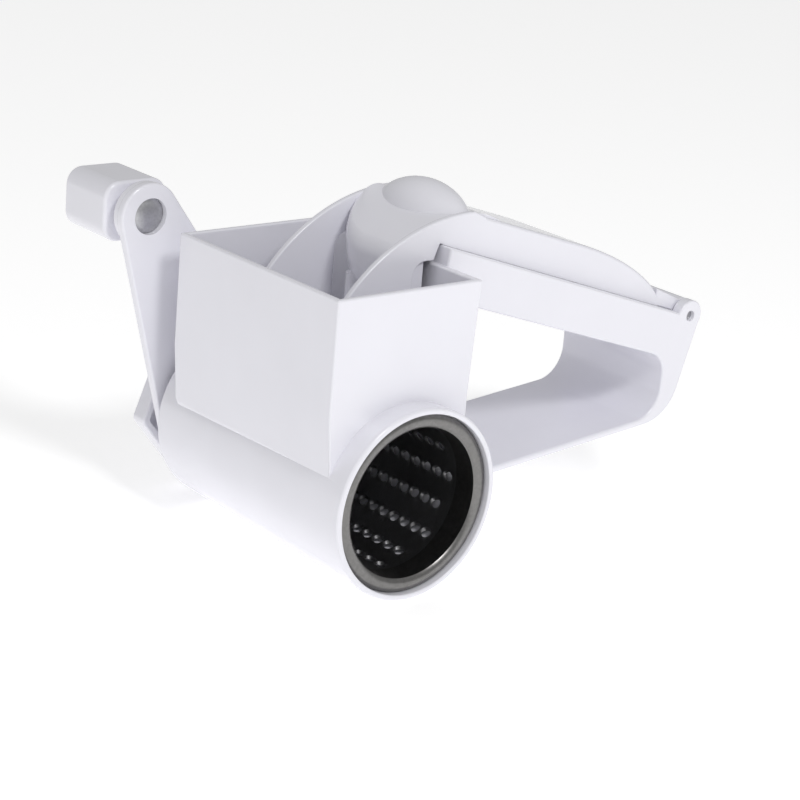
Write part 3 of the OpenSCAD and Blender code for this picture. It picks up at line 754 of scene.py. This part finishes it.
for x, z, r, top in (
    (knob_x, knob_z, boss_r - boss_in, crank_y + boss_t),
    (0, 0, hub_core_r, crank_end),
):
    stud = slab("stud", disc(x, z, r, 72), crank_y + stud_root, top)
    soften(stud, stud_edge)
    shape(crank, stud, "UNION")
for x, z, r, low, top in (
    (0, 0, shaft_r, crank_y - past_face, crank_y + shaft_grip),
    (0, 0, shank_r, crank_y, crank_end + past_face),
    (knob_x, knob_z, spindle_r + seat_clear, crank_y - past_face, crank_end + past_face),
    (knob_x, knob_z, spindle_head_r + slack, crank_y - past_face, crank_y + spindle_head_depth),
):
    shape(crank, slab("hole", disc(x, z, r), low, top), "DIFFERENCE")
finished(crank, white_plastic("crank_white"), "drum_and_crank", "white_plastic", "crank_arm")

# ---------------------------------------------------------------------------------------
# The hub cover: a six-sided white cap, hollow from below and rounded on its outer edges.
# It is pressed over the crank's hub and hides the screw.
cover_r, cover_wall, cover_top_t, cover_turn = 29.0, 3.0, 2.0, 189
cover_round, pocket_round, cover_edge = 3, 1.5, 0.9
cover_low, cover_high = [corner.y for corner in reach("hub_cover")]


def six_sided(r, rounding):
    """A regular six-sided outline with rounded corners."""
    turns = [radians(cover_turn + 60 * i) for i in range(6)]
    return corners([(r * cos(a), r * sin(a)) for a in turns], [rounding] * 6)


cover = slab("hub_cover_moulded", six_sided(cover_r, cover_round), cover_low, cover_high)
soften(cover, cover_edge, 4)
pocket = slab("pocket", six_sided(cover_r - cover_wall, pocket_round), cover_low - past_face,
              cover_high - cover_top_t)
shape(cover, pocket, "DIFFERENCE")
finished(cover, white_plastic("cover_white"), "drum_and_crank", "white_plastic", "hub_cover")

# ---------------------------------------------------------------------------------------
# The knob: a hollow white moulding, rounded on every side, that turns freely on a headed
# steel spindle. A thin cap is pressed into its outer end over the spring clip.
knob_near, knob_far = [corner.y for corner in reach("knob")]
knob_w, knob_h, knob_round, neck_r, neck_len = 25.0, 21.0, 6.0, 7.5, 3.0
cap_t, cap_edge, cap_below, clip_r, clip_gap, clip_room = 2.0, 1.5, 0.02, 6.5, 1, 5.0
grip_round, cap_round, neck_root = 1.3, 0.4, 1.5
grip_y = knob_near + neck_len


def knob_outline(inset):
    """The knob across its spindle: a rounded oblong."""
    w, h = knob_w / 2 - inset, knob_h / 2 - inset
    ends = [(knob_x + a * w, knob_z + b * h) for a, b in ((1, 1), (-1, 1), (-1, -1), (1, -1))]
    return corners(ends, [knob_round - inset] * 4)


grip = slab("knob_grip", knob_outline(0), grip_y, knob_far)
soften(grip, grip_round, 5)
shape(grip, slab("neck", disc(knob_x, knob_z, neck_r), knob_near, grip_y + neck_root), "UNION")
cap_seat = slab("cap_seat", knob_outline(cap_edge), knob_far - cap_t, knob_far + past_face)
shape(grip, cap_seat, "DIFFERENCE")
for r, low, top in (
    (spindle_r + slack, knob_near - past_face, knob_far - past_face),
    (clip_r + clip_gap, knob_far - cap_t - clip_room, knob_far),
):
    shape(grip, slab("hole", disc(knob_x, knob_z, r), low, top), "DIFFERENCE")
finished(grip, white_plastic("knob_white"), "knob", "white_plastic", "knob")

cap = slab("knob_end_cap", knob_outline(cap_edge + seat_clear), knob_far - cap_t,
           knob_far - cap_below)
soften(cap, cap_round)
finished(cap, white_plastic("cap_white"), "knob", "white_plastic", "knob_cap")

# ---------------------------------------------------------------------------------------
# The knob's spindle: a turned steel pin with a low domed head, pushed through the crank's
# boss from the hopper's side. Its far end is chamfered so that the clip slides on.
pin_low, pin_high = [corner.y for corner in reach("knob_spindle")]
chamfer, spindle_steps = 0.5, 64
spindle_profile = [
    (0, pin_low),
    (1.6, pin_low + 0.03),
    (3.2, pin_low + 0.15),
    (5.2, pin_low + 0.55),
    (spindle_head_r, pin_low + 1.2),
    (spindle_head_r, crank_y + spindle_head_depth),
    (spindle_r, crank_y + spindle_head_depth),
    (spindle_r, pin_high - chamfer),
    (spindle_r - chamfer, pin_high),
    (0, pin_high),
]
spindle = turned("knob_spindle_headed", spindle_profile, knob_x, knob_z, spindle_steps)
spindle_steel = steel("spindle_steel", (0.6, 0.6, 0.62), 0.35)
finished(spindle, spindle_steel, "drum_and_crank", "steel", "knob_spindle")

# ---------------------------------------------------------------------------------------
# Where it is shown: on a pale seamless floor in a bright room, lit by a small soft box from
# the front and above and a wide weak one from the left. A long lens is held a little askew.
bpy.ops.object.select_all(action="DESELECT")
bpy.ops.mesh.primitive_plane_add(size=6, location=(0, 0, 0))
floor = bpy.context.object
floor.name = "pale_floor"
pale = bpy.data.materials.new("pale_floor")
pale.use_nodes = True
paper = pale.node_tree.nodes["Principled BSDF"].inputs
paper["Base Color"].default_value = (0.95, 0.95, 0.95, 1)
paper["Roughness"].default_value = 0.9
paper["Emission Color"].default_value = (1, 1, 1, 1)
paper["Emission Strength"].default_value = 0.45
floor.data.materials.append(pale)

room = bpy.data.worlds.new("bright_room")
room.use_nodes = True
room.node_tree.nodes["Background"].inputs["Color"].default_value = (1, 1, 1, 1)
room.node_tree.nodes["Background"].inputs["Strength"].default_value = 0.42
bpy.context.scene.world = room
bpy.context.scene.view_settings.view_transform = "Standard"


def softbox(name, place, target, size, power):
    """A soft oblong lamp that faces the target; places and sizes are in metres."""
    lamp = bpy.data.lights.new(name, "AREA")
    lamp.shape = "RECTANGLE"
    lamp.size, lamp.size_y = size
    lamp.energy = power
    holder = bpy.data.objects.new(name, lamp)
    bpy.context.scene.collection.objects.link(holder)
    holder.location = place
    holder.rotation_euler = (Vector(target) - Vector(place)).to_track_quat("-Z", "Y").to_euler()


softbox("front_softbox", (-0.15, -0.9, 0.95), (0, 0, 0.05), (0.26, 0.2), 5)
softbox("left_softbox", (-1.1, -0.2, 0.5), (0, 0, 0.04), (0.7, 0.6), 0.6)

view_turn, view_fall, view_roll = 41.13, 18.47, 5.03
lens = bpy.data.cameras.new("view")
lens.lens, lens.sensor_width = 106.15, 36
viewer = bpy.data.objects.new("view", lens)
bpy.context.scene.collection.objects.link(viewer)
viewer.rotation_mode = "QUATERNION"
viewer.location = at(-475.24, -530.94, 273.4)
turned_left = Matrix.Rotation(radians(-view_turn), 4, "Z")
aim = turned_left @ Matrix.Rotation(radians(90 - view_fall), 4, "X")
viewer.rotation_quaternion = (aim @ Matrix.Rotation(radians(view_roll), 4, "Z")).to_quaternion()
lens.clip_start, lens.clip_end = 0.01, 20
bpy.context.scene.camera = viewer
